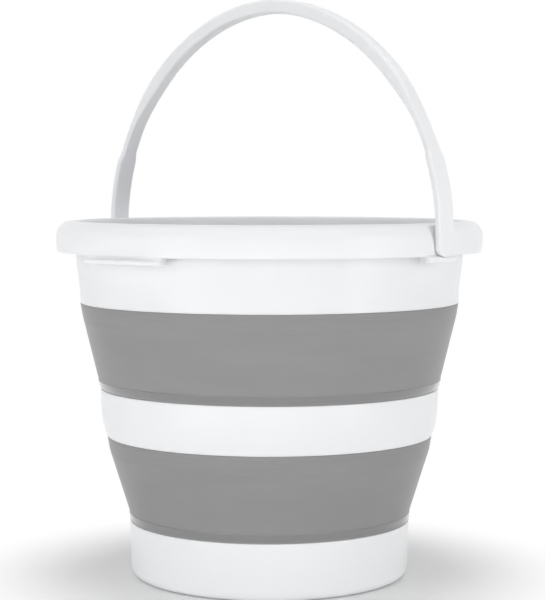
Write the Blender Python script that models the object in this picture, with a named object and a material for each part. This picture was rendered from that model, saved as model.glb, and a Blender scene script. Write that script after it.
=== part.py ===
"""Collapsible camp bucket: three hard rings, two soft fold bands and a bail.

Metres, +Z up. The origin is the centre of the foot ring's lower face. The bail's pivot axis runs
along X, the bail folds down towards +Y, and the grip ledges face -Y and +Y.
"""
from math import asin, atan2, ceil, copysign, cos, hypot, pi, radians, sin, sqrt

import bmesh
import bpy

# Walls, seams and clearances
HARD_WALL = 0.0022
SOFT_WALL = 0.0021
GAP = 0.0003
TONGUE_LENGTH = 0.0050
LIP_WALL = 0.0010
OVERRUN = 0.0040
MERGE = 0.00001
SEGMENTS = 60

# Heights of the stacked pieces, from the foot up
BASE_HEIGHT = 0.0420
BAND_HEIGHT = 0.0646
RING_HEIGHT = 0.0351
RIM_HEIGHT = 0.0607

# Outer radii: each piece starts where the one below it ends
BASE_FOOT_RADIUS = 0.1044
BASE_FLARE = 0.0010
LOWER_BAND_SPREAD = 0.0168
RING_FLARE = 0.0046
UPPER_BAND_SPREAD = 0.0149
RIM_FLARE = 0.0030
FLANGE_REACH = 0.0146

BASE_TOP_RADIUS = BASE_FOOT_RADIUS + BASE_FLARE
RING_FOOT_RADIUS = BASE_TOP_RADIUS + LOWER_BAND_SPREAD
RING_TOP_RADIUS = RING_FOOT_RADIUS + RING_FLARE
RIM_FOOT_RADIUS = RING_TOP_RADIUS + UPPER_BAND_SPREAD
NECK_RADIUS = RIM_FOOT_RADIUS + RIM_FLARE
FLANGE_RADIUS = NECK_RADIUS + FLANGE_REACH

# Base cup
BASE_CORNER = 0.0090
FOOT_RING_WIDTH = 0.0060
FOOT_RING_HEIGHT = 0.0030
FOOT_RING_DRAFT = 0.0008
FLOOR_WALL = 0.0024

# Fold bands
LIP_HEIGHT = 0.0070
LOWER_LIP_FLARE = 0.0003
UPPER_LIP_FLARE = 0.0014
FOLD_STEP = 0.0012
FOLD_RISE = 0.0024
BROW_HEIGHT = 0.0098
BROW_SPREAD = 0.0016
CREASE_DEPTH = 0.0004
CREASE_HEIGHT = 0.0010

# Flange of the rim: a hook that flares out of the wall, rolls over and comes down as a skirt
NECK_HEIGHT = 0.0297
FLARE_HEIGHT = 0.0240
CROWN_INSET = 0.0130
CROWN_WIDTH = 0.0020
SHOULDER_HEIGHT = 0.0110
SKIRT_TUCK = 0.0012
SKIRT_HEIGHT = 0.0229

# Grip ledges on the skirt's lower edge, with a finger scoop above each
GRIP_ANGLE = radians(26.5)
GRIP_DROP = 0.0055
GRIP_LIP = 0.0029
GRIP_OVERLAP = 0.0016
GRIP_REACH = 0.0012
LEDGE_END_ROUND = 0.0022
SCOOP_DEPTH = 0.0018
SCOOP_HEIGHT = 0.0145

# Bail
PIVOT_DROP = 0.0150
BAIL_STANDOFF = 0.0020
BAIL_LEG_RUN = 0.0110
BAIL_RISE = 0.1630
BAIL_POWER = 1.92
PADDLE_WIDTH = 0.0155
PADDLE_THICKNESS = 0.0050
PADDLE_TOP = 0.0600
STEM_WIDTH = 0.0128
STEM_FOOT = 0.0680
STEM_TOP = 0.0850
GRIP_WIDTH = 0.0120
GRIP_THICKNESS = 0.0104
GRIP_START = 0.1210
CAP_DEPTH = 0.0042
CAP_INSET = 0.0007
PARTING_INSET = 0.0001
PADDLE_POWER = 6.0
GRIP_POWER = 4.0
PEG_RADIUS = 0.0040
PEG_HEAD_RADIUS = 0.0053
PEG_HEAD_LENGTH = 0.0014

BAIL_HALF_SPAN = FLANGE_RADIUS + BAIL_STANDOFF

# Pivot pockets in the flange
PIVOT_CLEARANCE = 0.0003
LEG_CLEARANCE = 0.0009
POCKET_DEPTH = 0.0050
SLOT_SIDE_GAP = 0.0030
SLOT_DRAFT = 0.0014
SLOT_CORNER = 0.0030
SADDLE_FRONT_ANGLE = radians(6.2)
SADDLE_BACK_ANGLE = radians(4.4)
SADDLE_WALL = 0.0037
SADDLE_REACH = 0.0016
FOLD_CLEARANCE = 0.0012


def material(name, colour, roughness):
    """A plain plastic."""
    made = bpy.data.materials.new(name)
    made.use_nodes = True
    shader = made.node_tree.nodes["Principled BSDF"]
    shader.inputs["Base Color"].default_value = (*colour, 1.0)
    shader.inputs["Roughness"].default_value = roughness
    shader.inputs["Metallic"].default_value = 0.0
    return made


def add_object(name, mesh, paint=None, parent=None, place=(0.0, 0.0, 0.0)):
    """Make an object of a bmesh, shaded smooth with sharp corners kept."""
    bmesh.ops.recalc_face_normals(mesh, faces=mesh.faces)
    data = bpy.data.meshes.new(name)
    mesh.to_mesh(data)
    mesh.free()
    data.shade_smooth()
    data.set_sharp_from_angle(angle=radians(35))
    made = bpy.data.objects.new(name, data)
    bpy.context.collection.objects.link(made)
    made.location = place
    if parent:
        made.parent = parent
    if paint:
        data.materials.append(paint)
    return made


def combine(target, tool, operation):
    """Cut a tool out of the target, or join it on, with a Boolean modifier."""
    tool.parent = target
    tool.hide_render = True
    tool.display_type = "WIRE"
    modifier = target.modifiers.new(tool.name, "BOOLEAN")
    modifier.operation = operation
    modifier.solver = "EXACT"
    modifier.object = tool


def turn(outline, start=0.0, sweep=2 * pi):
    """Spin an outline of (radius, height) points about Z. A sector gets end caps."""
    mesh = bmesh.new()
    whole = sweep >= 2 * pi
    steps = SEGMENTS if whole else max(2, ceil(SEGMENTS * sweep / (2 * pi)))
    corners = [mesh.verts.new((radius * cos(start), radius * sin(start), height))
               for radius, height in outline]
    edges = [mesh.edges.new(pair) for pair in zip(corners, corners[1:])]
    on_axis = outline[0][0] < MERGE and outline[-1][0] < MERGE
    if not on_axis:
        edges.append(mesh.edges.new((corners[-1], corners[0])))
    shape = corners + edges
    if not whole:
        shape.append(mesh.faces.new(corners))
    bmesh.ops.spin(mesh, geom=shape, axis=(0, 0, 1), cent=(0, 0, 0), angle=sweep, steps=steps,
                   use_merge=whole)
    bmesh.ops.remove_doubles(mesh, verts=mesh.verts, dist=MERGE)
    return mesh


def turn_ledge(outline, start, sweep):
    """A sector of a turned outline whose outer corners at both ends are rounded in plan."""
    mesh = turn(outline, start, sweep)
    middle_radius = (min(radius for radius, _ in outline) + max(radius for radius, _ in outline)) / 2
    corners = []
    for edge in mesh.edges:
        at_end = any(len(face.verts) == len(outline) for face in edge.link_faces)
        upright = abs(edge.verts[0].co.z - edge.verts[1].co.z) > edge.calc_length() / 2
        if at_end and upright and all(hypot(vert.co.x, vert.co.y) > middle_radius for vert in edge.verts):
            corners.append(edge)
    bmesh.ops.bevel(mesh, geom=corners, offset=LEDGE_END_ROUND, segments=3, affect="EDGES",
                    clamp_overlap=True)
    return mesh


def prism(outline, start_x, end_x):
    """Extrude an outline of (y, z) points along X."""
    mesh = bmesh.new()
    face = mesh.faces.new([mesh.verts.new((start_x, y, z)) for y, z in outline])
    grown = bmesh.ops.extrude_face_region(mesh, geom=[face])["geom"]
    moved = [item for item in grown if isinstance(item, bmesh.types.BMVert)]
    bmesh.ops.translate(mesh, verts=moved, vec=(end_x - start_x, 0, 0))
    return mesh


def box(low, high):
    """A box between two corners."""
    mesh = bmesh.new()
    bmesh.ops.create_cube(mesh, size=1)
    for vert in mesh.verts:
        vert.co = [a if c < 0 else b for a, b, c in zip(low, high, vert.co)]
    return mesh


def rod(radius, start_x, end_x, sides=24):
    """A round bar along X."""
    angles = [2 * pi * (k + 0.5) / sides for k in range(sides)]
    return prism([(radius * cos(angle), radius * sin(angle)) for angle in angles], start_x, end_x)


def direction(start, end):
    """Unit vector from one profile point to another."""
    run, rise = end[0] - start[0], end[1] - start[1]
    length = hypot(run, rise)
    return run / length, rise / length


def moved(point, *moves):
    """A profile point shifted along (direction, distance) pairs."""
    radius, height = point
    for (run, rise), distance in moves:
        radius += run * distance
        height += rise * distance
    return radius, height


def offset_line(points, distance):
    """A profile line moved sideways, to the left of its course, with mitred corners."""
    headings = [direction(a, b) for a, b in zip(points, points[1:])]
    result = []
    for index, point in enumerate(points):
        before = headings[max(index - 1, 0)]
        after = headings[min(index, len(headings) - 1)]
        run, rise = before[0] + after[0], before[1] + after[1]
        length = hypot(run, rise)
        mitre = 2 * distance / length
        result.append(moved(point, ((-rise / length, run / length), mitre)))
    return result


def tongue(corner, along, wall_side):
    """Points of the tongue that a hard wall sends into a soft lip, from outside to inside."""
    step = moved(corner, (wall_side, LIP_WALL + GAP))
    inner = moved(corner, (wall_side, HARD_WALL))
    return [corner, step, moved(step, (along, TONGUE_LENGTH)), moved(inner, (along, TONGUE_LENGTH))]


def lip(corner, along, wall_side):
    """Points of the soft lip that takes such a tongue, from outside to inside."""
    edge = moved(corner, (along, GAP))
    step = moved(edge, (wall_side, LIP_WALL))
    inner = moved(edge, (wall_side, SOFT_WALL))
    return [edge, step, moved(step, (along, TONGUE_LENGTH)), moved(inner, (along, TONGUE_LENGTH))]


def base_wall():
    """Outer line of the base cup, from the foot ring up to the seam."""
    steps = 4
    centre = BASE_FOOT_RADIUS - BASE_CORNER
    corner = [(centre + BASE_CORNER * sin(pi / 2 * k / steps),
               BASE_CORNER - BASE_CORNER * cos(pi / 2 * k / steps)) for k in range(steps + 1)]
    return corner + [(BASE_TOP_RADIUS, BASE_HEIGHT)]


def ring_wall():
    """Outer line of the middle ring: straight above, drawn in at the foot."""
    flare_power = 3.3
    height_shares = (0.0, 0.06, 0.15, 0.28, 0.50, 1.0)
    return [(RING_TOP_RADIUS - RING_FLARE * (1 - share) ** flare_power, RING_HEIGHT * share)
            for share in height_shares]


def band_wall(foot_radius, lip_flare, top_radius):
    """Outer line of a fold band: lip, hinge line, cone, second hinge line and brow."""
    lip_radius = foot_radius + lip_flare
    cone_foot = (lip_radius + FOLD_STEP, LIP_HEIGHT + FOLD_RISE)
    brow_foot = (top_radius - BROW_SPREAD, BAND_HEIGHT - BROW_HEIGHT)
    climb = direction(cone_foot, brow_foot)
    inward = (-climb[1], climb[0])
    crease = moved(brow_foot, (climb, -CREASE_HEIGHT), (inward, CREASE_DEPTH))
    return [
        (foot_radius, 0.0),
        (lip_radius, LIP_HEIGHT),
        (lip_radius - CREASE_DEPTH, LIP_HEIGHT + CREASE_HEIGHT),
        cone_foot,
        moved(crease, (climb, -CREASE_HEIGHT), (inward, -CREASE_DEPTH)),
        crease,
        brow_foot,
        (top_radius, BAND_HEIGHT),
    ]


def rim_wall():
    """Inner line of the rim frame: up the wall, out over the crown and down the skirt."""
    wall_foot = RIM_FOOT_RADIUS - HARD_WALL
    neck = NECK_RADIUS - HARD_WALL
    crown_in = FLANGE_RADIUS - CROWN_INSET
    flare_foot = RIM_HEIGHT - FLARE_HEIGHT
    flare_steps = 5
    flare = [(neck + (crown_in - neck) * (1 - cos(pi / 2 * k / flare_steps)),
              flare_foot + FLARE_HEIGHT * sin(pi / 2 * k / flare_steps))
             for k in range(flare_steps + 1)]
    crown_out = crown_in + CROWN_WIDTH
    shoulder_run = FLANGE_RADIUS - crown_out
    shoulder_steps = 5
    shoulder = [(crown_out + shoulder_run * sin(pi / 2 * k / shoulder_steps),
                 RIM_HEIGHT - SHOULDER_HEIGHT * (1 - cos(pi / 2 * k / shoulder_steps)))
                for k in range(shoulder_steps + 1)]
    skirt_run = SKIRT_HEIGHT - SHOULDER_HEIGHT
    skirt = [(FLANGE_RADIUS - SKIRT_TUCK * share ** 3, RIM_HEIGHT - SHOULDER_HEIGHT - skirt_run * share)
             for share in (0.45, 0.8, 1.0)]
    waist_share = 0.45
    waist = (wall_foot + (neck - wall_foot) * waist_share ** 2, NECK_HEIGHT * waist_share)
    return [(wall_foot, 0.0), waist] + flare + shoulder + skirt


def make_base_cup(paint):
    """Cup with a floor, a foot ring under it and a tongue on top."""
    outer = base_wall()
    climb = direction(outer[-2], outer[-1])
    inward = (-climb[1], climb[0])
    foot_outer = outer[0]
    foot_inner = foot_outer[0] - FOOT_RING_WIDTH
    recess_edge = foot_inner - FOOT_RING_DRAFT
    floor_top = FOOT_RING_HEIGHT + FLOOR_WALL
    inner = offset_line(outer, HARD_WALL)
    inner_corner = [point for point in inner if point[1] > floor_top]
    underside = [(0.0, FOOT_RING_HEIGHT), (recess_edge, FOOT_RING_HEIGHT), (foot_inner, 0.0)]
    top = tongue(outer[-1], climb, inward)
    bend = (inner_corner[0][0] - HARD_WALL, floor_top)
    outline = underside + outer[:-1] + top + inner_corner[:-1][::-1] + [bend, (0.0, floor_top)]
    return add_object("base_cup", turn(outline), paint)


def make_band(name, paint, parent, foot_radius, lip_flare, top_radius, foot_climb, place):
    """Fold band with a lip at both ends, each round a hard tongue."""
    outer = band_wall(foot_radius, lip_flare, top_radius)
    foot_inward = (-foot_climb[1], foot_climb[0])
    descent = direction(outer[-1], outer[-2])
    top_inward = (descent[1], -descent[0])
    foot = lip(outer[0], foot_climb, foot_inward)
    head = lip(outer[-1], descent, top_inward)
    inner = offset_line(outer, SOFT_WALL)[1:-1]
    reach = head[-1][1]
    inner = [point for point in inner if foot[-1][1] < point[1] < reach]
    outline = [foot[0]] + outer[1:-1] + head + inner[::-1] + foot[:0:-1]
    return add_object(name, turn(outline), paint, parent, (0, 0, place))


def make_middle_ring(paint, parent, foot_descent, place):
    """Hard ring with a tongue into each of its two fold bands."""
    outer = ring_wall()
    climb = direction(outer[-2], outer[-1])
    inward = (-climb[1], climb[0])
    foot_inward = (foot_descent[1], -foot_descent[0])
    foot = tongue(outer[0], foot_descent, foot_inward)
    head = tongue(outer[-1], climb, inward)
    inner = offset_line(outer, HARD_WALL)[1:-1]
    outline = foot[::-1] + outer[1:-1] + head + inner[::-1]
    return add_object("middle_ring", turn(outline), paint, parent, (0, 0, place)), climb


def scoop(mesh):
    """Press the skirt's lower edge in above both grip ledges."""
    skirt_foot = RIM_HEIGHT - SKIRT_HEIGHT
    skirt_inside = NECK_RADIUS + HARD_WALL
    for vert in mesh.verts:
        radius = hypot(vert.co.x, vert.co.y)
        share = 1 - (vert.co.z - skirt_foot) / SCOOP_HEIGHT
        turned = abs(abs(atan2(vert.co.y, vert.co.x)) - pi / 2) / (GRIP_ANGLE / 2)
        if radius > skirt_inside and share > 0 and turned < 1:
            push = SCOOP_DEPTH * share * cos(pi / 2 * turned) ** 2
            vert.co.x -= push * vert.co.x / radius
            vert.co.y -= push * vert.co.y / radius


def slot_outline(pivot_height):
    """U-shaped slot round a leg's end, with drafted sides and rounded mouth corners."""
    steps = 8
    side = PADDLE_WIDTH / 2 + SLOT_SIDE_GAP
    drop = PADDLE_WIDTH / 2 + LEG_CLEARANCE
    bowl = [(side * cos(pi + pi * k / steps), pivot_height + drop * sin(pi + pi * k / steps))
            for k in range(steps + 1)]
    mouth = side + SLOT_DRAFT
    corner_foot = RIM_HEIGHT - SLOT_CORNER
    corner_steps = 3
    corner = [(mouth + SLOT_CORNER * (1 - cos(pi / 2 * k / corner_steps)),
               corner_foot + SLOT_CORNER * sin(pi / 2 * k / corner_steps))
              for k in range(corner_steps + 1)]
    top = RIM_HEIGHT + OVERRUN
    right = corner + [(corner[-1][0], top)]
    left = [(-y, z) for y, z in right[::-1]]
    return bowl + right + left


def make_rim_frame(paint, parent, foot_descent, place):
    """Upper wall and hooked flange, with grip ledges and a pocket for each end of the bail."""
    inner = rim_wall()
    foot_inward = (foot_descent[1], -foot_descent[0])
    outer = offset_line(inner, -HARD_WALL)
    foot = tongue((RIM_FOOT_RADIUS, 0.0), foot_descent, foot_inward)
    mesh = turn(foot + inner[1:] + outer[:0:-1])
    scoop(mesh)
    frame = add_object("rim_frame", mesh, paint, parent, (0, 0, place))

    pivot_height = RIM_HEIGHT - PIVOT_DROP
    skirt_foot = RIM_HEIGHT - SKIRT_HEIGHT
    skirt_edge = FLANGE_RADIUS - SKIRT_TUCK
    leg_inside = BAIL_HALF_SPAN - PADDLE_THICKNESS / 2
    pocket_back = leg_inside - POCKET_DEPTH
    saddle_foot = pivot_height - PADDLE_WIDTH / 2 - LEG_CLEARANCE - SADDLE_WALL
    root_share = 0.8
    saddle_root = skirt_edge - HARD_WALL * root_share
    grip_root = saddle_root - SCOOP_DEPTH
    web_face = skirt_edge - SCOOP_DEPTH / 2
    lip_top = skirt_foot - GRIP_DROP + GRIP_LIP
    wall_inset = HARD_WALL / 2
    pocket_inner = pocket_back - HARD_WALL
    envelope = [point for point in offset_line(inner, -wall_inset)[:-1] if point[0] > pocket_inner]
    envelope = [(pocket_inner, envelope[0][1])] + envelope
    envelope += [(saddle_root, saddle_foot + GAP), (pocket_inner, saddle_foot + GAP)]
    half_pocket = PADDLE_WIDTH / 2 + SLOT_SIDE_GAP + SLOT_DRAFT + HARD_WALL
    pocket_angle = 2 * atan2(half_pocket, pocket_back)

    for label, side in (("right", 1), ("left", -1)):
        heading = 0.0 if side > 0 else pi
        block = add_object(f"pocket_block_{label}", turn(envelope, heading - pocket_angle / 2, pocket_angle))
        combine(frame, block, "UNION")
        saddle_low = heading - (SADDLE_FRONT_ANGLE if side > 0 else SADDLE_BACK_ANGLE)
        saddle_sweep = SADDLE_FRONT_ANGLE + SADDLE_BACK_ANGLE
        saddle_face = BAIL_HALF_SPAN + PADDLE_THICKNESS / 2 - SADDLE_REACH / 2
        saddle = add_object(f"saddle_{label}", turn_ledge([
            (saddle_root, saddle_foot),
            (saddle_face, saddle_foot),
            (saddle_face, skirt_foot),
            (saddle_root, skirt_foot + GRIP_OVERLAP),
        ], saddle_low, saddle_sweep))
        combine(frame, saddle, "UNION")
        grip_low = pi / 2 * -side - GRIP_ANGLE / 2
        ledge = add_object(f"grip_ledge_{label}", turn_ledge([
            (grip_root, skirt_foot - GRIP_DROP),
            (FLANGE_RADIUS, skirt_foot - GRIP_DROP),
            (FLANGE_RADIUS + GRIP_REACH, lip_top - GRIP_LIP / 2),
            (FLANGE_RADIUS, lip_top),
            (web_face, lip_top),
            (web_face, skirt_foot + GRIP_OVERLAP),
            (grip_root, skirt_foot + GRIP_OVERLAP),
        ], grip_low, GRIP_ANGLE))
        combine(frame, ledge, "UNION")
    for label, side in (("right", 1), ("left", -1)):
        beyond = side * (FLANGE_RADIUS + GRIP_REACH + OVERRUN)
        slot = add_object(f"slot_{label}", prism(slot_outline(pivot_height), side * pocket_back, beyond))
        combine(frame, slot, "DIFFERENCE")
        facet = leg_inside - FOLD_CLEARANCE
        reach = sqrt(FLANGE_RADIUS ** 2 - facet ** 2) + OVERRUN
        sweep_low = pivot_height - PADDLE_WIDTH / 2 - FOLD_CLEARANCE
        relief = add_object(f"fold_relief_{label}", box(
            (min(side * facet, beyond), GAP, sweep_low),
            (max(side * facet, beyond), reach, RIM_HEIGHT + OVERRUN)))
        combine(frame, relief, "DIFFERENCE")
        hole = add_object(f"peg_hole_{label}", rod(
            PEG_RADIUS + PIVOT_CLEARANCE,
            side * (pocket_inner - PIVOT_CLEARANCE), side * (pocket_back + OVERRUN)))
        hole.location.z = pivot_height
        combine(frame, hole, "DIFFERENCE")
    return frame


def smooth_share(value, start, end):
    """0 before start, 1 after end, eased between."""
    share = min(max((value - start) / (end - start), 0.0), 1.0)
    return share * share * (3 - 2 * share)


def bail_section(height):
    """Width, thickness, squareness and cap inset of the bail at a height above its pivot."""
    paddle = smooth_share(height, PADDLE_TOP, STEM_FOOT)
    grip = smooth_share(height, STEM_TOP, GRIP_START)
    width = PADDLE_WIDTH + (STEM_WIDTH - PADDLE_WIDTH) * paddle + (GRIP_WIDTH - STEM_WIDTH) * grip
    thickness = PADDLE_THICKNESS + (GRIP_THICKNESS - PADDLE_THICKNESS) * grip
    power = PADDLE_POWER + (GRIP_POWER - PADDLE_POWER) * grip
    return width, thickness, power, PARTING_INSET + (CAP_INSET - PARTING_INSET) * grip


def section_points(width, thickness, power, inset):
    """Outline of the bail's section as (across, outward): a narrower cap on a wider body."""
    cap_steps = 5
    body_steps = 9
    cap_share = 1 - 2 * CAP_DEPTH / GRIP_THICKNESS
    step = asin(cap_share ** (power / 2))
    cap = [(step + (pi - 2 * step) * k / cap_steps, width / 2 - inset) for k in range(cap_steps + 1)]
    body = [(pi - step + (pi + 2 * step) * k / body_steps, width / 2) for k in range(body_steps + 1)]
    return [(half * copysign(abs(cos(angle)) ** (2 / power), cos(angle)),
             thickness / 2 * copysign(abs(sin(angle)) ** (2 / power), sin(angle)))
            for angle, half in cap + body]


def bail_line():
    """Centre line of the bail in XZ with its outward normals, from the +X leg to the -X leg."""
    arch_steps = 36
    leg_steps = 2
    points = [(BAIL_HALF_SPAN, BAIL_LEG_RUN * k / leg_steps) for k in range(leg_steps)]
    for k in range(arch_steps + 1):
        angle = pi * k / arch_steps
        reach, climb = cos(angle), sin(angle)
        points.append((BAIL_HALF_SPAN * copysign(abs(reach) ** (2 / BAIL_POWER), reach),
                       BAIL_LEG_RUN + BAIL_RISE * max(climb, 0.0) ** (2 / BAIL_POWER)))
    points += [(-x, z) for x, z in points[:leg_steps][::-1]]
    normals = []
    for index in range(len(points)):
        before, after = points[max(index - 1, 0)], points[min(index + 1, len(points) - 1)]
        run, rise = direction(before, after)
        normals.append((rise, -run))
    return points, normals


def make_bail(paint, parent, pivot_height):
    """One moulding: flat legs with round ends, a thicker grip and a headed peg on each leg."""
    mesh = bmesh.new()
    points, normals = bail_line()
    loops = []

    def section(centre, normal, *shape):
        loops.append([mesh.verts.new((centre[0] + normal[0] * out, across, centre[1] + normal[1] * out))
                      for across, out in section_points(*shape)])

    end_radius = PADDLE_WIDTH / 2
    end_steps = 5
    ends = [(end_radius * cos(pi / 2 * k / end_steps), end_radius * sin(pi / 2 * k / end_steps))
            for k in range(1, end_steps)]
    for half_width, drop in ends[::-1]:
        section((BAIL_HALF_SPAN, -drop), (1, 0), 2 * half_width, *bail_section(0.0)[1:])
    for point, normal in zip(points, normals):
        section(point, normal, *bail_section(point[1]))
    for half_width, drop in ends:
        section((-BAIL_HALF_SPAN, -drop), (-1, 0), 2 * half_width, *bail_section(0.0)[1:])
    for low, high in zip(loops, loops[1:]):
        for k, corner in enumerate(low):
            mesh.faces.new((low[k - 1], corner, high[k], high[k - 1]))
    mesh.faces.new(loops[0][::-1])
    mesh.faces.new(loops[-1])
    bail = add_object("bail_handle", mesh, paint, parent, (0, 0, pivot_height))

    leg_inside = BAIL_HALF_SPAN - PADDLE_THICKNESS / 2
    head_face = leg_inside - POCKET_DEPTH - HARD_WALL - PIVOT_CLEARANCE
    for label, side in (("right", 1), ("left", -1)):
        peg = add_object(f"peg_{label}", rod(PEG_RADIUS, side * (head_face - PEG_HEAD_LENGTH / 2),
                                             side * BAIL_HALF_SPAN))
        combine(bail, peg, "UNION")
        head = add_object(f"peg_head_{label}", rod(PEG_HEAD_RADIUS, side * (head_face - PEG_HEAD_LENGTH),
                                                   side * head_face))
        combine(bail, head, "UNION")
    return bail


for leftover in list(bpy.data.objects):
    bpy.data.objects.remove(leftover, do_unlink=True)

white = material("white_polypropylene", (0.86, 0.87, 0.88), 0.22)
grey = material("grey_soft_band", (0.30, 0.30, 0.30), 0.48)

base_line = base_wall()
base_climb = direction(base_line[-2], base_line[-1])
base_cup = make_base_cup(white)
lower_line = band_wall(BASE_TOP_RADIUS, LOWER_LIP_FLARE, RING_FOOT_RADIUS)
make_band("lower_fold_band", grey, base_cup, BASE_TOP_RADIUS, LOWER_LIP_FLARE, RING_FOOT_RADIUS,
          base_climb, BASE_HEIGHT)
middle_ring, ring_climb = make_middle_ring(white, base_cup, direction(lower_line[-1], lower_line[-2]),
                                           BASE_HEIGHT + BAND_HEIGHT)
upper_line = band_wall(RING_TOP_RADIUS, UPPER_LIP_FLARE, RIM_FOOT_RADIUS)
make_band("upper_fold_band", grey, middle_ring, RING_TOP_RADIUS, UPPER_LIP_FLARE, RIM_FOOT_RADIUS,
          ring_climb, RING_HEIGHT)
rim_frame = make_rim_frame(white, middle_ring, direction(upper_line[-1], upper_line[-2]),
                           RING_HEIGHT + BAND_HEIGHT)
make_bail(white, rim_frame, RIM_HEIGHT - PIVOT_DROP)
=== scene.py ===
"""Collapsible camp bucket, standing open on a pale studio floor with its bail upright.

Metres, +Z up, origin at the centre of the foot ring's lower face. The bail's pivot axis runs
along X.
"""
from math import atan2, copysign, cos, degrees, hypot, pi, radians, sin, tan

import bpy
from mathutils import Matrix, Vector


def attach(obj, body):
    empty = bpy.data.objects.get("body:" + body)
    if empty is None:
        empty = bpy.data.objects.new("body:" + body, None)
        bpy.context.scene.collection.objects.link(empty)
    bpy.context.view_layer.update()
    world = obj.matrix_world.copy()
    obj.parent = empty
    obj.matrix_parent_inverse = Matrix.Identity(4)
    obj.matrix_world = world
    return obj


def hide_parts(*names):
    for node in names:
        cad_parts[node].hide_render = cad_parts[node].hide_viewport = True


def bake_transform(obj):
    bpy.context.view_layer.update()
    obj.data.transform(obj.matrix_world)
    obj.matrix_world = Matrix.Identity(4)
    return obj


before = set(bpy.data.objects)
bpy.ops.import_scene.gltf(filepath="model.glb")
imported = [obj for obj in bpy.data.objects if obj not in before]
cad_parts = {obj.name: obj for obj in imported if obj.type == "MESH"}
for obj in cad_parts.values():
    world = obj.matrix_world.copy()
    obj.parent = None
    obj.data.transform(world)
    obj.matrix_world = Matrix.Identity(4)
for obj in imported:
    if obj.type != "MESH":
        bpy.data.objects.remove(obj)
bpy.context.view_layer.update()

# Base cup
# A shallow cup of glossy white polypropylene, injection moulded in one shot. It stands on a narrow
# foot ring, its floor is lifted off the ground, and its upper edge is stepped to sit inside the
# soft band that is moulded round it.
CUP_CORNERS = [
    (0.0, 0.0030, 0.0),
    (0.0886, 0.0030, 0.0010),
    (0.0894, 0.0, 0.0006),
    (0.1044, 0.0, 0.0110),
    (0.1054, 0.0420, 0.0003),
    (0.10412, 0.0420, 0.0),
    (0.10424, 0.0470, 0.0003),
    (0.10332, 0.0470, 0.0003),
    (0.1022, 0.0054, 0.0068),
    (0.0, 0.0054, 0.0),
]
TURNING_STEPS = 240


def rounded_section(corners, arc_steps=5):
    """Points of a section drawn with straight lines, each corner rounded by its own radius."""
    points = []
    for index, (reach, height, radius) in enumerate(corners):
        here = Vector((reach, height))
        if radius == 0:
            points.append(here)
            continue
        before = Vector(corners[index - 1][:2]) - here
        after = Vector(corners[(index + 1) % len(corners)][:2]) - here
        opening = before.angle(after)
        setback = min(radius / tan(opening / 2), before.length * 0.49, after.length * 0.49)
        start = here + before.normalized() * setback
        end = here + after.normalized() * setback
        round_radius = setback * tan(opening / 2)
        centre = here + (before.normalized() + after.normalized()).normalized() * (
            round_radius / sin(opening / 2))
        first, last = start - centre, end - centre
        sweep = first.angle(last)
        for step in range(arc_steps + 1):
            share = step / arc_steps
            spoke = (first * sin((1 - share) * sweep) + last * sin(share * sweep)) / sin(sweep)
            points.append(centre + spoke)
    return points


def drawn_line(name, points, closed):
    """Start a piece as a line drawn point by point, and leave it selected in edit mode."""
    bpy.ops.object.select_all(action="DESELECT")
    bpy.ops.mesh.primitive_plane_add(size=0.001, location=(0, 0, 0))
    piece = bpy.context.active_object
    piece.name = name
    piece.data.name = name
    bpy.ops.object.mode_set(mode="EDIT")
    bpy.ops.mesh.merge(type="CENTER")
    bpy.ops.transform.translate(value=points[0])
    course = list(points) + ([points[0]] if closed else [])
    for here, there in zip(course, course[1:]):
        bpy.ops.mesh.extrude_vertices_move(
            TRANSFORM_OT_translate={"value": [b - a for a, b in zip(here, there)]})
    bpy.ops.mesh.select_all(action="SELECT")
    bpy.ops.mesh.remove_doubles(threshold=0.00001)
    bpy.ops.mesh.select_all(action="SELECT")
    return piece


def turned_moulding(name, points, closed=True):
    """Draw half a section and spin it round the bucket's upright axis."""
    piece = drawn_line(name, [(reach, 0, height) for reach, height in points], closed)
    bpy.ops.mesh.spin(steps=TURNING_STEPS, angle=2 * pi, center=(0, 0, 0), axis=(0, 0, 1),
                      use_auto_merge=True)
    bpy.ops.mesh.select_all(action="SELECT")
    bpy.ops.mesh.remove_doubles(threshold=0.00001)
    bpy.ops.mesh.normals_make_consistent(inside=False)
    bpy.ops.object.mode_set(mode="OBJECT")
    bpy.ops.object.shade_smooth_by_angle(angle=radians(40))
    return piece


def node_at(tree, kind, place, **values):
    """A shader node with its plain socket values set by name."""
    node = tree.nodes.new(kind)
    node.location = place
    for socket, value in values.items():
        node.inputs[socket.replace("_", " ")].default_value = value
    return node


def two_tones(tree, place, dark, light):
    """A colour ramp from one tone to another, each given as its position and its colour."""
    ramp = node_at(tree, "ShaderNodeValToRGB", place)
    for stop, (position, colour) in zip(ramp.color_ramp.elements, (dark, light)):
        stop.position = position
        stop.color = (*colour, 1)
    return ramp


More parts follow.
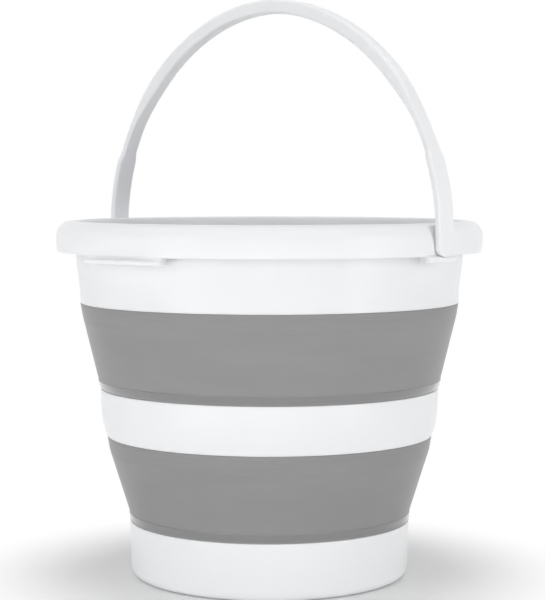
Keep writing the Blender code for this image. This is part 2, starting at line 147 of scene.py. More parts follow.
def glossy_polypropylene(name):
    """White moulded polypropylene, slightly cool and glossy, faintly clouded, with slow waves."""
    made = bpy.data.materials.new(name)
    made.use_nodes = True
    tree = made.node_tree
    link = tree.links.new
    shader = tree.nodes["Principled BSDF"]
    shader.inputs["IOR"].default_value = 1.49
    shader.inputs["Specular IOR Level"].default_value = 0.4
    shader.inputs["Subsurface Weight"].default_value = 0.15
    shader.inputs["Subsurface Radius"].default_value = (0.9, 0.95, 1.0)
    shader.inputs["Subsurface Scale"].default_value = 0.003
    place = node_at(tree, "ShaderNodeTexCoord", (-1300, 0))
    clouds = node_at(tree, "ShaderNodeTexNoise", (-900, 250), Scale=9.0, Detail=3.0,
                     Roughness=0.5)
    link(place.outputs["Object"], clouds.inputs["Vector"])
    tint = two_tones(tree, (-600, 300), (0.35, (0.862, 0.872, 0.890)),
                     (0.65, (0.874, 0.883, 0.897)))
    link(clouds.outputs["Fac"], tint.inputs["Fac"])
    link(tint.outputs["Color"], shader.inputs["Base Color"])
    handling = node_at(tree, "ShaderNodeTexNoise", (-900, -50), Scale=55.0, Detail=4.0,
                       Roughness=0.55)
    link(place.outputs["Object"], handling.inputs["Vector"])
    sheen = node_at(tree, "ShaderNodeMapRange", (-600, -50), From_Min=0.3, From_Max=0.7,
                    To_Min=0.28, To_Max=0.30)
    link(handling.outputs["Fac"], sheen.inputs["Value"])
    link(sheen.outputs["Result"], shader.inputs["Roughness"])
    flow = node_at(tree, "ShaderNodeTexNoise", (-900, -400), Scale=14.0, Detail=1.0,
                   Roughness=0.4)
    link(place.outputs["Object"], flow.inputs["Vector"])
    waves = node_at(tree, "ShaderNodeBump", (-350, -400), Strength=0.05, Distance=0.0008)
    link(flow.outputs["Fac"], waves.inputs["Height"])
    link(waves.outputs["Normal"], shader.inputs["Normal"])
    return made


base_cup = turned_moulding("base_cup_moulding", rounded_section(CUP_CORNERS), closed=False)
white_plastic = glossy_polypropylene("white_polypropylene_gloss")
base_cup.data.materials.append(white_plastic)
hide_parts("base_cup")
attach(base_cup, "base")

# Lower fold band
# A cone of soft grey thermoplastic rubber, moulded over the stepped edges of the two hard pieces
# that it joins. A rounded lip grips the cup, a thin crease above it is the first fold line, and
# fine ridges round the brow stiffen the second. It turns inside out as the bucket is pressed flat.
BAND_WALL = 0.0021
BAND_LAP = 0.0010
INSIDE_SPACING = 0.0006
RIDGE_HALF_WIDTH, RIDGE_RISE, RIDGE_ROOM = 0.0004, 0.00013, 0.0005
LOWER_BAND_RIDGES = (0.0928, 0.0990, 0.1012, 0.1035)
BAND_HEAD_STEP = (0.0008, 0.0049)
LOWER_BAND_OUTSIDE = [
    (0.1054, 0.0423, 0.0004),
    (0.10600, 0.0448, 0.0036),
    (0.10618, 0.0483, 0.0004),
    (0.10570, 0.0489, 0.0002),
    (0.1064, 0.0509, 0.0008),
    (0.12020, 0.0950, 0.0002),
    (0.12030, 0.0957, 0.0003),
    (0.12052, 0.0962, 0.0003),
    (0.1222, 0.1063, 0.0004),
]


def soft_rubber(name):
    """Grey thermoplastic rubber, satin with faint sideways smudges; its lip glossier, with painted
    shade.
    """
    made = bpy.data.materials.new(name)
    made.use_nodes = True
    tree = made.node_tree
    link = tree.links.new
    shader = tree.nodes["Principled BSDF"]
    shader.inputs["IOR"].default_value = 1.5
    shader.inputs["Specular IOR Level"].default_value = 0.08
    place = node_at(tree, "ShaderNodeTexCoord", (-1500, 0))
    stretch = node_at(tree, "ShaderNodeMapping", (-1250, 100))
    stretch.inputs["Scale"].default_value = (1.0, 1.0, 6.0)
    link(place.outputs["Object"], stretch.inputs["Vector"])
    smudge = node_at(tree, "ShaderNodeTexNoise", (-950, 250), Scale=11.0, Detail=5.0,
                     Roughness=0.55)
    link(stretch.outputs["Vector"], smudge.inputs["Vector"])
    tint = two_tones(tree, (-600, 300), (0.32, (0.292, 0.291, 0.291)),
                     (0.68, (0.309, 0.308, 0.308)))
    link(smudge.outputs["Fac"], tint.inputs["Fac"])
    sheen = node_at(tree, "ShaderNodeMapRange", (-600, -20), From_Min=0.3, From_Max=0.7,
                    To_Min=0.31, To_Max=0.37)
    link(smudge.outputs["Fac"], sheen.inputs["Value"])
    lip = tree.nodes.new("ShaderNodeAttribute")
    lip.location = (-600, -200)
    lip.attribute_name = "lip"
    # A Mix node's sockets 2 and 3 are its plain numbers, and 6 and 7 its colours.
    # The lip's colour is painted darker than the band: painted shade, as the lip curls under
    # towards the ring.
    shade = node_at(tree, "ShaderNodeMix", (-300, 200))
    shade.data_type = "RGBA"
    shade.inputs[7].default_value = (0.226, 0.227, 0.232, 1)
    link(lip.outputs["Fac"], shade.inputs[0])
    link(tint.outputs["Color"], shade.inputs[6])
    link(shade.outputs[2], shader.inputs["Base Color"])
    shader.inputs["Coat Roughness"].default_value = 0.12
    link(lip.outputs["Fac"], shader.inputs["Coat Weight"])
    polish = node_at(tree, "ShaderNodeMix", (-350, -100))
    polish.inputs[3].default_value = 0.20
    link(lip.outputs["Fac"], polish.inputs[0])
    link(sheen.outputs["Result"], polish.inputs[2])
    link(polish.outputs[0], shader.inputs["Roughness"])
    grain = node_at(tree, "ShaderNodeTexNoise", (-950, -350), Scale=1900.0, Detail=2.0,
                    Roughness=0.6)
    link(place.outputs["Object"], grain.inputs["Vector"])
    fine = node_at(tree, "ShaderNodeBump", (-350, -350), Strength=0.05, Distance=0.0002)
    link(grain.outputs["Fac"], fine.inputs["Height"])
    dents = node_at(tree, "ShaderNodeTexNoise", (-950, -600), Scale=16.0, Detail=2.0,
                    Roughness=0.5)
    link(stretch.outputs["Vector"], dents.inputs["Vector"])
    waves = node_at(tree, "ShaderNodeBump", (-150, -450), Strength=0.08, Distance=0.0008)
    link(dents.outputs["Fac"], waves.inputs["Height"])
    link(fine.outputs["Normal"], waves.inputs["Normal"])
    link(waves.outputs["Normal"], shader.inputs["Normal"])
    return made


def band_section(outside, foot_step, head_step, ridges):
    """Closed section of a band: its ridged outside, its inside and a rebate at either end."""
    outer = rounded_section([(outside[0][0], outside[0][1], 0.0)] + outside[1:-1]
                            + [(outside[-1][0], outside[-1][1], 0.0)])
    inner = []
    for index, point in enumerate(outer):
        course = outer[min(index + 1, len(outer) - 1)] - outer[max(index - 1, 0)]
        inward = Vector((-course.y, course.x)).normalized()
        inner.append(point + inward * BAND_WALL)
    low, high = outer[0].y + foot_step[1], outer[-1].y - head_step[1]
    inner = [point for point in inner if low + INSIDE_SPACING < point.y < high - INSIDE_SPACING]
    smooth = [inner[0]]
    for point in inner[1:]:
        if point.y - smooth[-1].y > INSIDE_SPACING:
            smooth.append(point)
    head = [Vector((outer[-1].x - BAND_LAP, outer[-1].y)),
            Vector((outer[-1].x - BAND_LAP - head_step[0], high)),
            Vector((outer[-1].x - BAND_WALL - head_step[0], high))]
    foot = [Vector((outer[0].x + foot_step[0] - BAND_WALL, low)),
            Vector((outer[0].x + foot_step[0] - BAND_LAP, low)),
            Vector((outer[0].x - BAND_LAP, outer[0].y))]
    ridged = []
    for here, there in zip(outer, outer[1:]):
        ridged.append(here)
        outward = Vector((there.y - here.y, here.x - there.x)).normalized()
        for height in ridges:
            if here.y + RIDGE_ROOM < height < there.y - RIDGE_ROOM:
                for step, rise in ((-RIDGE_HALF_WIDTH, 0.0), (0.0, RIDGE_RISE),
                                   (RIDGE_HALF_WIDTH, 0.0)):
                    share = (height + step - here.y) / (there.y - here.y)
                    ridged.append(here.lerp(there, share) + outward * rise)
    return ridged + [outer[-1]] + head + smooth[::-1] + foot


def mark_lip(piece, low, high):
    """Mark the rounded lip's points: the mould polishes it more than the cone, and shade is painted
    on it.
    """
    marks = piece.data.attributes.new("lip", "FLOAT", "POINT")
    for vertex, mark in zip(piece.data.vertices, marks.data):
        mark.value = 1.0 if low < vertex.co.z < high else 0.0


lower_band = turned_moulding("lower_fold_band_moulding",
                             band_section(LOWER_BAND_OUTSIDE, (0.0001, 0.0050),
                                          BAND_HEAD_STEP, LOWER_BAND_RIDGES))
mark_lip(lower_band, 0.0424, 0.0486)
grey_rubber = soft_rubber("grey_band_rubber")
lower_band.data.materials.append(grey_rubber)
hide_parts("lower_fold_band")
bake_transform(lower_band)

# Middle ring
# A hard hoop of the same white polypropylene between the two soft bands. It is straight above and
# drawn in at the foot, and both edges are stepped where the bands are moulded on.
RING_FOOT = 0.1066
RING_HEIGHT = 0.0351
RING_TOP_RADIUS = 0.1268
RING_DRAW = 0.0046
RING_CURVE = 3.3
RING_WALL = 0.0022
RING_STEPS = 24
RING_FOOT_STEP = [(0.11902, 0.1017), (0.11998, 0.1017), (0.12092, 0.1066)]
RING_HEAD_STEP = [(0.1255, 0.1417), (0.1255, 0.1467), (0.1246, 0.1467)]

ring_outside = [Vector((RING_TOP_RADIUS - RING_DRAW * (1 - step / RING_STEPS) ** RING_CURVE,
                        RING_FOOT + RING_HEIGHT * step / RING_STEPS))
                for step in range(RING_STEPS + 1)]
ring_inside = [Vector((point.x - RING_WALL, point.y)) for point in ring_outside]
ring_section = ([Vector(corner) for corner in RING_FOOT_STEP] + ring_outside
                + [Vector(corner) for corner in RING_HEAD_STEP] + ring_inside[::-1])
middle_ring = turned_moulding("middle_ring_moulding", ring_section)
middle_ring.data.materials.append(white_plastic)
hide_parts("middle_ring")
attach(middle_ring, "ring")

# Upper fold band
# The second soft grey cone, wider than the first and made the same way, between the middle ring
# and the rim. Folded, it lies outside the lower one.
UPPER_BAND_RIDGES = (0.1925, 0.1988, 0.2010, 0.2033)
UPPER_BAND_OUTSIDE = [
    (0.1268, 0.1420, 0.0004),
    (0.12810, 0.1445, 0.0036),
    (0.12898, 0.1483, 0.0004),
    (0.12850, 0.1489, 0.0002),
    (0.1291, 0.1511, 0.0008),
    (0.13970, 0.1947, 0.0002),
    (0.13980, 0.1954, 0.0003),
    (0.14000, 0.1959, 0.0003),
    (0.1417, 0.2060, 0.0004),
]
upper_band = turned_moulding("upper_fold_band_moulding",
                             band_section(UPPER_BAND_OUTSIDE, (0.0, 0.0050),
                                          BAND_HEAD_STEP, UPPER_BAND_RIDGES))
mark_lip(upper_band, 0.1421, 0.1486)
upper_band.data.materials.append(grey_rubber)
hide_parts("upper_fold_band")
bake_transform(upper_band)

# Rim frame
# The upper wall and the hooked flange in one white moulding. The flange flares out of the wall,
# rolls over and comes down as a skirt. It carries two grip ledges under finger scoops, and a slot
# with a cradle below it on either side, where the bail's legs hang on their pegs.
RIM_FOOT = 0.2063
RIM_TOP = 0.2670
FLANGE_RADIUS = 0.1593
SKIRT_FOOT = 0.2441
RIM_WALL = 0.0022
PIVOT_HEIGHT = 0.2520
RIM_FOOT_STEP = [(0.13852, 0.2014), (0.13942, 0.2014), (0.1404, 0.2063), (0.1417, 0.2063)]
WALL_RADIUS, WALL_LEAN, WALL_RISE, WALL_SHARE = 0.1395, 0.0030, 0.0297, 0.9
FLARE_RADIUS, FLARE_REACH, FLARE_FOOT, FLARE_RISE = 0.1425, 0.0038, 0.2430, 0.0240
SHOULDER_RADIUS, SHOULDER_ROUND = 0.1483, 0.0110
SKIRT_HEAD, SKIRT_TUCK = 0.2560, 0.0010
WALL_STEPS, FLARE_STEPS, SHOULDER_STEPS, SKIRT_STEPS, EDGE_STEPS = 8, 12, 14, 12, 8

wall_line = [Vector((WALL_RADIUS + WALL_LEAN * (step / WALL_STEPS * WALL_SHARE) ** 2,
                     RIM_FOOT + WALL_RISE * step / WALL_STEPS * WALL_SHARE))
             for step in range(WALL_STEPS + 1)]
flare_line = [Vector((FLARE_RADIUS + FLARE_REACH * (1 - cos(pi / 2 * step / FLARE_STEPS)),
                      FLARE_FOOT + FLARE_RISE * sin(pi / 2 * step / FLARE_STEPS)))
              for step in range(FLARE_STEPS + 1)]
shoulder_line = [Vector((SHOULDER_RADIUS + SHOULDER_ROUND * sin(pi / 2 * step / SHOULDER_STEPS),
                         RIM_TOP - SHOULDER_ROUND * (1 - cos(pi / 2 * step / SHOULDER_STEPS))))
                 for step in range(SHOULDER_STEPS + 1)]
skirt_line = [Vector((FLANGE_RADIUS - SKIRT_TUCK * (step / SKIRT_STEPS) ** 3,
                      SKIRT_HEAD - (SKIRT_HEAD - SKIRT_FOOT) * step / SKIRT_STEPS))
              for step in range(1, SKIRT_STEPS)]
rim_inner = wall_line + flare_line + shoulder_line + skirt_line
rim_outer = []
for index, point in enumerate(rim_inner):
    course = rim_inner[min(index + 1, len(rim_inner) - 1)] - rim_inner[max(index - 1, 0)]
    rim_outer.append(point + Vector((course.y, -course.x)).normalized() * RIM_WALL)
rim_section = (
    [Vector(corner) for corner in RIM_FOOT_STEP] + rim_outer[1:]
    + [(rim_inner[-1] + rim_outer[-1]) / 2
       + Vector((RIM_WALL / 2 * cos(turn), RIM_WALL / 2 * sin(turn)))
       for turn in [pi + pi * step / EDGE_STEPS for step in range(1, EDGE_STEPS)]]
    + rim_inner[::-1])
rim_frame = turned_moulding("rim_frame_moulding", rim_section)

SCOOP_DEPTH = 0.0040
SCOOP_HEIGHT = 0.0150
SCOOP_SPREAD = 5.5
SCOOP_SOFTNESS = 0.9
FINGER_RIDGE, FINGER_RIDGE_SPREAD = 0.45, 3.2
SKIRT_INSIDE = 0.1490
GRIP_HALF_ANGLE = radians(13.6)


def sink_into_scoop(vertex):
    """Push a point of the skirt or of a ledge's web inwards, where the finger scoop is."""
    reach = hypot(vertex.co.x, vertex.co.y)
    share = min(1 - (vertex.co.z - SKIRT_FOOT) / SCOOP_HEIGHT, 1)
    turned = degrees(abs(abs(atan2(vertex.co.y, vertex.co.x)) - pi / 2))
    spread = SCOOP_SPREAD + SCOOP_SPREAD * share
    if 0 < share and turned < spread:
        bowl = cos(pi / 2 * turned / spread) ** SCOOP_SOFTNESS
        finger_ridge = 1 - (FINGER_RIDGE * (1 - share) ** 0.5
                            * max(0, 1 - turned / FINGER_RIDGE_SPREAD) ** 1.5)
        push = SCOOP_DEPTH * share * share * (3 - 2 * share) * bowl * finger_ridge / reach
        vertex.co.x -= push * vertex.co.x
        vertex.co.y -= push * vertex.co.y


for vertex in rim_frame.data.vertices:
    if hypot(vertex.co.x, vertex.co.y) > SKIRT_INSIDE:
        sink_into_scoop(vertex)


def rim_rib(name, corners, heading, sweep, edge_round, ends=(0.0, 0.0), in_plan=True):
    """A short rib that follows the flange: a section turned through a small angle, with soft edges.

    Each end is rounded by a length of its own, either in plan or where it meets the underside.
    """
    start = heading + sweep / 2
    rib = drawn_line(name, [(reach * cos(start), reach * sin(start), height)
                            for reach, height in corners], True)
    bpy.ops.mesh.edge_face_add()
    steps = max(3, round(sweep / radians(0.5 if any(ends) else 2)))
    bpy.ops.mesh.spin(steps=steps, angle=sweep, center=(0, 0, 0), axis=(0, 0, 1))
    bpy.ops.mesh.select_all(action="SELECT")
    bpy.ops.mesh.normals_make_consistent(inside=False)
    if edge_round:
        bpy.ops.mesh.select_all(action="DESELECT")
        bpy.ops.mesh.edges_select_sharp(sharpness=radians(30))
        bpy.ops.mesh.bevel(offset=edge_round, segments=4, clamp_overlap=True)
    bpy.ops.object.mode_set(mode="OBJECT")
    reaches, heights = zip(*corners)
    near, far, low, high = min(reaches), max(reaches), min(heights), max(heights)
    for vertex in rib.data.vertices:
        reach = hypot(vertex.co.x, vertex.co.y)
        turned = (atan2(vertex.co.y, vertex.co.x) - heading + pi) % (2 * pi) - pi
        for end, length in zip((-1, 1), ends):
            share = 1 - (sweep / 2 - end * turned) * far / length if length else 0
            drop = length * (1 - (1 - min(share, 1) ** 2) ** 0.5) if share > 0 else 0
            if in_plan:
                push = 1 - drop * (reach - near) / (far - near) / reach
                vertex.co.x, vertex.co.y = vertex.co.x * push, vertex.co.y * push
            else:
                vertex.co.z += drop * (high - vertex.co.z) / (high - low)
    return rib


def taken_up(piece):
    """Select one piece alone and make it the active one."""
    bpy.ops.object.select_all(action="DESELECT")
    piece.select_set(True)
    bpy.context.view_layer.objects.active = piece


def joined(piece, tool, operation):
    """Join a tool to the piece, or cut it out, and remove the tool."""
    taken_up(piece)
    boolean = piece.modifiers.new(operation.lower(), "BOOLEAN")
    boolean.operation = operation
    boolean.solver = "EXACT"
    boolean.object = tool
    bpy.ops.object.modifier_apply(modifier=boolean.name)
    bpy.data.objects.remove(tool, do_unlink=True)


POCKET_INSIDE = 0.1516
POCKET_FOOT_REACH = 0.1550
POCKET_FOOT_LIFT = 0.0004
POCKET_SWEEP = radians(10.7)
POCKET_BACK = 0.1584
POCKET_BEND = 0.2550
POCKET_DRAFT = 0.44
SLOT_HALF_WIDTH = 0.01075
SLOT_DEPTH = 0.012
BOWL_DROP = 0.00865
BOWL_STEPS, MOUTH_STEPS = 24, 6
MOUTH_HALF_WIDTH, MOUTH_ROUND, MOUTH_OVERRUN = 0.01215, 0.0030, 0.004
CRADLE_FOOT = 0.2401
CRADLE_BACK, CRADLE_FACE = 0.1563, 0.1622
CRADLE_CORNERS = [(CRADLE_BACK, CRADLE_FOOT), (CRADLE_FACE, CRADLE_FOOT), (CRADLE_FACE, 0.2441),
                  (CRADLE_BACK, 0.2457)]
CRADLE_TURN, CRADLE_SWEEP = radians(0.15), radians(11.1)
CRADLE_EDGE, CRADLE_END = 0.0007, 0.0034
LEDGE_CORNERS = [(0.1512, 0.2391), (0.1596, 0.2391), (0.16028, 0.2399), (0.16028, 0.2412),
                 (0.1595, 0.2422), (0.1581, 0.2422), (0.1581, 0.2460), (0.1512, 0.2460)]
LEDGE_EDGE, LEDGE_END = 0.0006, 0.0021
WEB_BACK, WEB_FRONT, WEB_FOOT = 0.1555, 0.1588, 0.2418
RELIEF_PLACE = (0.1631, 0.01515, 0.25715)
RELIEF_SIZE = (0.011, 0.0297, 0.0278)
PEG_HOLE_RADIUS, PEG_HOLE_DEPTH, PEG_HOLE_PLACE = 0.0043, 0.0094, 0.1545
ROUND_SIDES = 48

pocket_line = [point for point in rim_inner
               if point.x > POCKET_INSIDE and point.y > SKIRT_FOOT + 0.003]
pocket_corners = []
for index, point in enumerate(pocket_line):
    course = pocket_line[min(index + 1, len(pocket_line) - 1)] - pocket_line[max(index - 1, 0)]
    pocket_corners.append(point + Vector((course.y, -course.x)).normalized() * (RIM_WALL / 2))
pocket_corners = ([Vector((POCKET_INSIDE, pocket_corners[0].y))] + pocket_corners
                  + [Vector((POCKET_FOOT_REACH, CRADLE_FOOT + POCKET_FOOT_LIFT)),
                     Vector((POCKET_INSIDE, CRADLE_FOOT + POCKET_FOOT_LIFT))])
slot_corners = [(SLOT_HALF_WIDTH * cos(pi + pi * step / BOWL_STEPS),
                 PIVOT_HEIGHT + BOWL_DROP * sin(pi + pi * step / BOWL_STEPS))
                for step in range(BOWL_STEPS + 1)]
slot_mouth = [(MOUTH_HALF_WIDTH + MOUTH_ROUND * (1 - cos(pi / 2 * step / MOUTH_STEPS)),
               RIM_TOP - MOUTH_ROUND + MOUTH_ROUND * sin(pi / 2 * step / MOUTH_STEPS))
              for step in range(MOUTH_STEPS + 1)]
slot_corners += slot_mouth + [(side * slot_mouth[-1][0], RIM_TOP + MOUTH_OVERRUN)
                              for side in (1, -1)]
slot_corners += [(-across, height) for across, height in slot_mouth[::-1]]

for side, heading in ((1, 0.0), (-1, pi)):
    joined(rim_frame, rim_rib("pocket_block", pocket_corners, heading, POCKET_SWEEP, 0), "UNION")
    joined(rim_frame, rim_rib("cradle", CRADLE_CORNERS, heading - side * CRADLE_TURN,
                              CRADLE_SWEEP, CRADLE_EDGE, ends=(0.0, CRADLE_END)[::side],
                              in_plan=False), "UNION")
    grip_ledge = rim_rib("grip_ledge", LEDGE_CORNERS, pi / 2 * side, 2 * GRIP_HALF_ANGLE,
                         LEDGE_EDGE, ends=(LEDGE_END, LEDGE_END))
    for vertex in grip_ledge.data.vertices:
        reach = hypot(vertex.co.x, vertex.co.y)
        if WEB_BACK < reach < WEB_FRONT and vertex.co.z > WEB_FOOT:
            sink_into_scoop(vertex)
    joined(rim_frame, grip_ledge, "UNION")
for side in (1, -1):
    slot_tool = drawn_line("slot_tool", [(side * POCKET_BACK, across, height)
                                         for across, height in slot_corners], True)
    bpy.ops.mesh.edge_face_add()
    bpy.ops.mesh.extrude_region_move(TRANSFORM_OT_translate={"value": (side * SLOT_DEPTH, 0, 0)})
    bpy.ops.mesh.select_all(action="SELECT")
    bpy.ops.mesh.bisect(plane_co=(0, 0, POCKET_BEND), plane_no=(0, 0, 1))
    bpy.ops.mesh.select_all(action="SELECT")
    bpy.ops.mesh.normals_make_consistent(inside=False)
    bpy.ops.object.mode_set(mode="OBJECT")
    for vertex in slot_tool.data.vertices:
        if abs(abs(vertex.co.x) - POCKET_BACK) < 0.0001 and vertex.co.z > POCKET_BEND:
            vertex.co.x -= side * POCKET_DRAFT * (vertex.co.z - POCKET_BEND)
    joined(rim_frame, slot_tool, "DIFFERENCE")
    # The relief clears the leg as the bail swings down to the back.
    bpy.ops.mesh.primitive_cube_add(size=1, location=(side * RELIEF_PLACE[0], *RELIEF_PLACE[1:]),
                                    scale=RELIEF_SIZE)
    joined(rim_frame, bpy.context.active_object, "DIFFERENCE")
    bpy.ops.mesh.primitive_cylinder_add(vertices=ROUND_SIDES, radius=PEG_HOLE_RADIUS,
                                        depth=PEG_HOLE_DEPTH, rotation=(0, pi / 2, 0),
                                        location=(side * PEG_HOLE_PLACE, 0, PIVOT_HEIGHT))
    joined(rim_frame, bpy.context.active_object, "DIFFERENCE")
taken_up(rim_frame)
bpy.ops.object.shade_smooth_by_angle(angle=radians(30))
rim_frame.data.materials.append(white_plastic)
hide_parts("rim_frame")
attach(rim_frame, "rim")

# Bail handle
# One white moulding: flat legs with round ends that hang on headed pegs in the rim, a narrower
# stem above each, and a thicker rounded grip across the top with a parting groove on either side.
BAIL_HALF_SPAN = 0.1613
LEG_RUN = 0.0110
ARCH_RISE = 0.16284
ARCH_POWER = 1.92
LEG_WIDTH, LEG_THICKNESS, LEG_SQUARENESS = 0.0168, 0.0049, 7.0
STEM_WIDTH = 0.0128
GRIP_WIDTH, GRIP_THICKNESS, GRIP_SQUARENESS = 0.0121, 0.0104, 4.5
LEG_HEAD, STEM_FOOT, STEM_HEAD, GRIP_FOOT = 0.0600, 0.0680, 0.0850, 0.1210
GROOVE_SHARE, GROOVE_HALF_WIDTH, GROOVE_DEPTH, GROOVE_SIDE = 0.1923, 0.16, 0.0006, 0.35
SECTION_STEPS = 48
END_STEPS, LEG_STEPS, ARCH_STEPS = 12, 4, 144
LOOP_SPACING = 0.003
PEG_PARTS = ((0.0040, 0.0110, 0.1556), (0.0053, 0.0014, 0.1506))


def eased(value, start, end):
    """0 before start, 1 after end and a soft change between."""
    share = min(max((value - start) / (end - start), 0.0), 1.0)
    return share * share * (3 - 2 * share)


def bail_section(height, width_share=1.0):
    """Section of the bail as (across, outward) points at a height above the pivot."""
    leg = eased(height, LEG_HEAD, STEM_FOOT)
    grip = eased(height, STEM_HEAD, GRIP_FOOT)
    width = (LEG_WIDTH + (STEM_WIDTH - LEG_WIDTH) * leg
             + (GRIP_WIDTH - STEM_WIDTH) * grip) * width_share
    thickness = LEG_THICKNESS + (GRIP_THICKNESS - LEG_THICKNESS) * grip
    power = LEG_SQUARENESS + (GRIP_SQUARENESS - LEG_SQUARENESS) * grip
    ring = []
    for step in range(SECTION_STEPS):
        angle = 2 * pi * (step + 0.5) / SECTION_STEPS
        across = width / 2 * copysign(abs(cos(angle)) ** (2 / power), cos(angle))
        outward = thickness / 2 * copysign(abs(sin(angle)) ** (2 / power), sin(angle))
        off_groove = abs(outward / thickness * 2 - GROOVE_SHARE) / GROOVE_HALF_WIDTH
        if abs(across) > width * GROOVE_SIDE:
            across -= copysign(GROOVE_DEPTH * grip * max(0.0, 1 - off_groove), across)
        ring.append((across, outward))
    return ring


stations = []
for step in range(1, END_STEPS):
    angle = pi / 2 * step / END_STEPS
    stations.append(((BAIL_HALF_SPAN, -LEG_WIDTH / 2 * cos(angle)), sin(angle)))
stations += [((BAIL_HALF_SPAN, LEG_RUN * step / LEG_STEPS), 1.0) for step in range(LEG_STEPS)]
first_leg = len(stations)
for step in range(ARCH_STEPS + 1):
    angle = pi * step / ARCH_STEPS
    stations.append(((BAIL_HALF_SPAN * copysign(abs(cos(angle)) ** (2 / ARCH_POWER), cos(angle)),
                      LEG_RUN + ARCH_RISE * abs(sin(angle)) ** (2 / ARCH_POWER)), 1.0))
stations += [((-reach, height), share) for (reach, height), share in stations[:first_leg][::-1]]

bpy.ops.object.select_all(action="DESELECT")
bpy.ops.mesh.primitive_circle_add(vertices=SECTION_STEPS, radius=0.004, fill_type="NGON")
bail = bpy.context.active_object
bail.name = "bail_moulding"
bail.data.name = "bail_moulding"
bpy.ops.object.mode_set(mode="EDIT")
bpy.ops.mesh.select_all(action="SELECT")
for station in stations[1:]:
    bpy.ops.mesh.extrude_region_move(TRANSFORM_OT_translate={"value": (0, 0, LOOP_SPACING)})
bpy.ops.object.mode_set(mode="OBJECT")
loops = {}
for vertex in bail.data.vertices:
    loops.setdefault(round(vertex.co.z / LOOP_SPACING), []).append(vertex)
for number, loop in loops.items():
    (reach, height), share = stations[number]
    before = stations[max(number - 1, 0)][0]
    after = stations[min(number + 1, len(stations) - 1)][0]
    heading = Vector((after[0] - before[0], after[1] - before[1])).normalized()
    if share < 1:
        heading = Vector((0, 1 if reach > 0 else -1))
    outward = Vector((heading.y, -heading.x))
    section = bail_section(height, share)
    for vertex in loop:
        turned = atan2(vertex.co.y, vertex.co.x) / (2 * pi)
        across, out = section[round(turned * SECTION_STEPS) % SECTION_STEPS]
        vertex.co = (reach + outward.x * out, across, PIVOT_HEIGHT + height + outward.y * out)
bpy.ops.object.mode_set(mode="EDIT")
bpy.ops.mesh.select_all(action="SELECT")
bpy.ops.mesh.normals_make_consistent(inside=False)
bpy.ops.object.mode_set(mode="OBJECT")
for side in (1, -1):
    for radius, length, place in PEG_PARTS:
        bpy.ops.mesh.primitive_cylinder_add(vertices=ROUND_SIDES, radius=radius, depth=length,
                                            rotation=(0, pi / 2, 0),
                                            location=(side * place, 0, PIVOT_HEIGHT))
        joined(bail, bpy.context.active_object, "UNION")
taken_up(bail)
bpy.ops.object.shade_smooth_by_angle(angle=radians(30))
bail.data.materials.append(white_plastic)
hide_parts("bail_handle")
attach(bail, "bail")

# Studio
# A pale floor that fades into a white background. Softboxes stand at the left, the right and
# overhead, and three low, weak lamps near the floor lift the front.
CAMERA_TURN = radians(41.2)


def seen_rays(tree, place):
    """1 for the camera, glossy and transmission rays that see the white ground, 0 for light."""
    rays = node_at(tree, "ShaderNodeLightPath", place)
    reached = rays.outputs["Is Camera Ray"]
    for number, kind in enumerate(("Is Glossy Ray", "Is Transmission Ray")):
        either = node_at(tree, "ShaderNodeMath", (place[0] + 150 + 100 * number, place[1]))
        either.operation = "MAXIMUM"
        tree.links.new(reached, either.inputs[0])
        tree.links.new(rays.outputs[kind], either.inputs[1])
        reached = either.outputs[0]
    return reached


bpy.ops.object.select_all(action="DESELECT")
bpy.ops.mesh.primitive_circle_add(vertices=96, radius=6.0, fill_type="NGON", location=(0, 0, 0))
floor = bpy.context.active_object
floor.name = "studio_floor"
floor.data.name = "studio_floor"
floor_paint = bpy.data.materials.new("pale_studio_floor")
floor_paint.use_nodes = True
floor_tree = floor_paint.node_tree
floor_shader = floor_tree.nodes["Principled BSDF"]
floor_shader.inputs["Base Color"].default_value = (0.93, 0.93, 0.93, 1)
floor_shader.inputs["Roughness"].default_value = 0.7
floor_output = floor_tree.nodes["Material Output"]
floor_link = floor_tree.links.new
floor_place = node_at(floor_tree, "ShaderNodeTexCoord", (-900, 150))
floor_reach = node_at(floor_tree, "ShaderNodeVectorMath", (-700, 150))
floor_reach.operation = "LENGTH"
floor_fade = node_at(floor_tree, "ShaderNodeMapRange", (-500, 150), From_Min=0.105, From_Max=0.25)
floor_fade.interpolation_type = "SMOOTHSTEP"
floor_share = node_at(floor_tree, "ShaderNodeMath", (-250, 250))
floor_share.operation = "MULTIPLY"
floor_white = node_at(floor_tree, "ShaderNodeEmission", (-100, 300), Strength=1.0)
floor_mix = node_at(floor_tree, "ShaderNodeMixShader", (150, 150))
floor_link(floor_place.outputs["Object"], floor_reach.inputs[0])
floor_link(floor_reach.outputs["Value"], floor_fade.inputs["Value"])
floor_link(floor_fade.outputs["Result"], floor_share.inputs[0])
floor_link(seen_rays(floor_tree, (-600, 400)), floor_share.inputs[1])
floor_link(floor_share.outputs[0], floor_mix.inputs["Fac"])
floor_link(floor_shader.outputs["BSDF"], floor_mix.inputs[1])
floor_link(floor_white.outputs["Emission"], floor_mix.inputs[2])
floor_link(floor_mix.outputs["Shader"], floor_output.inputs["Surface"])
floor.data.materials.append(floor_paint)

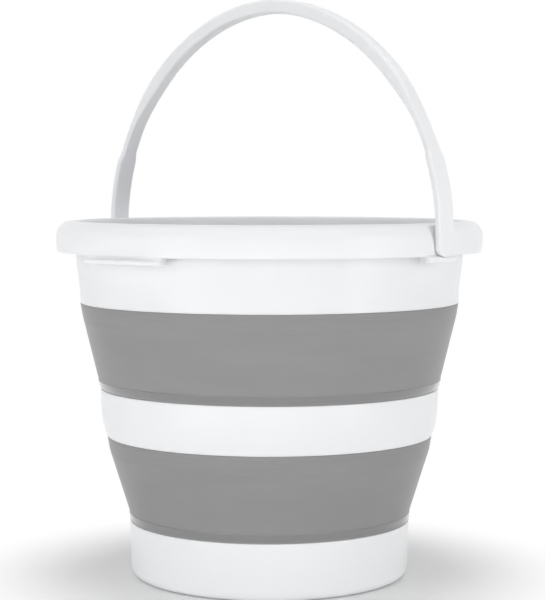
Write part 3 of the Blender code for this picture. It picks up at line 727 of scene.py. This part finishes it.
world = bpy.data.worlds.new("white_studio")
bpy.context.scene.world = world
world.use_nodes = True
sky = world.node_tree
sky_link = sky.links.new
sky.nodes["Background"].inputs["Color"].default_value = (1, 1, 1, 1)
sky_place = node_at(sky, "ShaderNodeTexCoord", (-1100, -100))
sky_parts = node_at(sky, "ShaderNodeSeparateXYZ", (-900, -100))
sky_down = node_at(sky, "ShaderNodeMapRange", (-700, -100), From_Min=0.0, From_Max=1.0,
                   To_Min=1.0, To_Max=0.0)
sky_fall = node_at(sky, "ShaderNodeMath", (-500, -100))
sky_fall.operation = "POWER"
sky_fall.inputs[1].default_value = 3.0
sky_level = node_at(sky, "ShaderNodeMath", (-300, -100))
sky_level.operation = "MULTIPLY"
sky_level.inputs[1].default_value = 1.43
sky_link(sky_place.outputs["Generated"], sky_parts.inputs["Vector"])
sky_link(sky_parts.outputs["Z"], sky_down.inputs["Value"])
sky_link(sky_down.outputs["Result"], sky_fall.inputs[0])
sky_link(sky_fall.outputs[0], sky_level.inputs[0])
sky_behind = node_at(sky, "ShaderNodeVectorMath", (-900, -350))
sky_behind.operation = "DOT_PRODUCT"
sky_behind.inputs[1].default_value = (-sin(CAMERA_TURN), cos(CAMERA_TURN), 0)
sky_fill = node_at(sky, "ShaderNodeMapRange", (-700, -350), From_Min=0.0, From_Max=1.0,
                   To_Min=1.0, To_Max=1.75)
sky_sum = node_at(sky, "ShaderNodeMath", (-150, -200))
sky_sum.operation = "MULTIPLY"
sky_link(sky_place.outputs["Generated"], sky_behind.inputs[0])
sky_link(sky_behind.outputs["Value"], sky_fill.inputs["Value"])
sky_link(sky_level.outputs[0], sky_sum.inputs[0])
sky_link(sky_fill.outputs["Result"], sky_sum.inputs[1])
sky_link(sky_sum.outputs[0], sky.nodes["Background"].inputs["Strength"])
sky_seen = node_at(sky, "ShaderNodeBackground", (0, 150), Color=(1, 1, 1, 1), Strength=1.0)
sky_choice = node_at(sky, "ShaderNodeMixShader", (250, 100))
sky_link(seen_rays(sky, (-600, 300)), sky_choice.inputs["Fac"])
sky_link(sky.nodes["Background"].outputs["Background"], sky_choice.inputs[1])
sky_link(sky_seen.outputs["Background"], sky_choice.inputs[2])
sky_link(sky_choice.outputs["Shader"], sky.nodes["World Output"].inputs["Surface"])


def soft_lamp(name, turn, distance, height, wide, tall, power, aim=0.16):
    """A softbox aimed at the middle of the bucket, turned round it from the camera's side."""
    bpy.ops.object.select_all(action="DESELECT")
    place = Vector((sin(CAMERA_TURN + turn) * distance, -cos(CAMERA_TURN + turn) * distance,
                    height))
    bpy.ops.object.light_add(type="AREA", location=place)
    lamp = bpy.context.active_object
    lamp.name = name
    lamp.data.shape = "RECTANGLE"
    lamp.data.size = wide
    lamp.data.size_y = tall
    lamp.data.energy = power
    lamp.rotation_euler = (Vector((0, 0, aim)) - place).to_track_quat("-Z", "Y").to_euler()


soft_lamp("left_softbox", radians(-45), 0.95, 0.30, 0.27, 0.9, 1.4)
soft_lamp("right_softbox", radians(51), 0.95, 0.28, 0.20, 0.8, 1.5)
soft_lamp("overhead_softbox", 0.0, 0.1, 1.9, 2.6, 2.6, 27)
soft_lamp("front_reflector", 0.0, 0.9, 0.06, 1.2, 0.12, 1.0, aim=0.30)
soft_lamp("left_card", radians(-45), 0.52, 0.03, 0.30, 0.30, 0.3, aim=0.17)
soft_lamp("right_card", radians(50), 0.52, 0.03, 0.22, 0.30, 0.13, aim=0.17)

# Camera
# Level with the upper band and a little above the bucket's middle, looking slightly down.
CAMERA_DISTANCE = 1.354
CAMERA_HEIGHT = 0.2965
CAMERA_PITCH = radians(3.81)
camera_place = Vector((sin(CAMERA_TURN) * CAMERA_DISTANCE, -cos(CAMERA_TURN) * CAMERA_DISTANCE,
                       CAMERA_HEIGHT))
camera_aim = Vector((-sin(CAMERA_TURN) * cos(CAMERA_PITCH), cos(CAMERA_TURN) * cos(CAMERA_PITCH),
                     -sin(CAMERA_PITCH)))
bpy.ops.object.select_all(action="DESELECT")
bpy.ops.object.camera_add(location=camera_place,
                          rotation=camera_aim.to_track_quat("-Z", "Y").to_euler())
camera = bpy.context.active_object
camera.name = "photo_camera"
camera.data.sensor_fit = "VERTICAL"
camera.data.sensor_height = 36
camera.data.lens = 108
camera.data.shift_x = 3 / 600
camera.data.shift_y = 0.8 / 600
camera.data.clip_start = 0.05
bpy.context.scene.camera = camera
bpy.context.scene.view_settings.view_transform = "Standard"
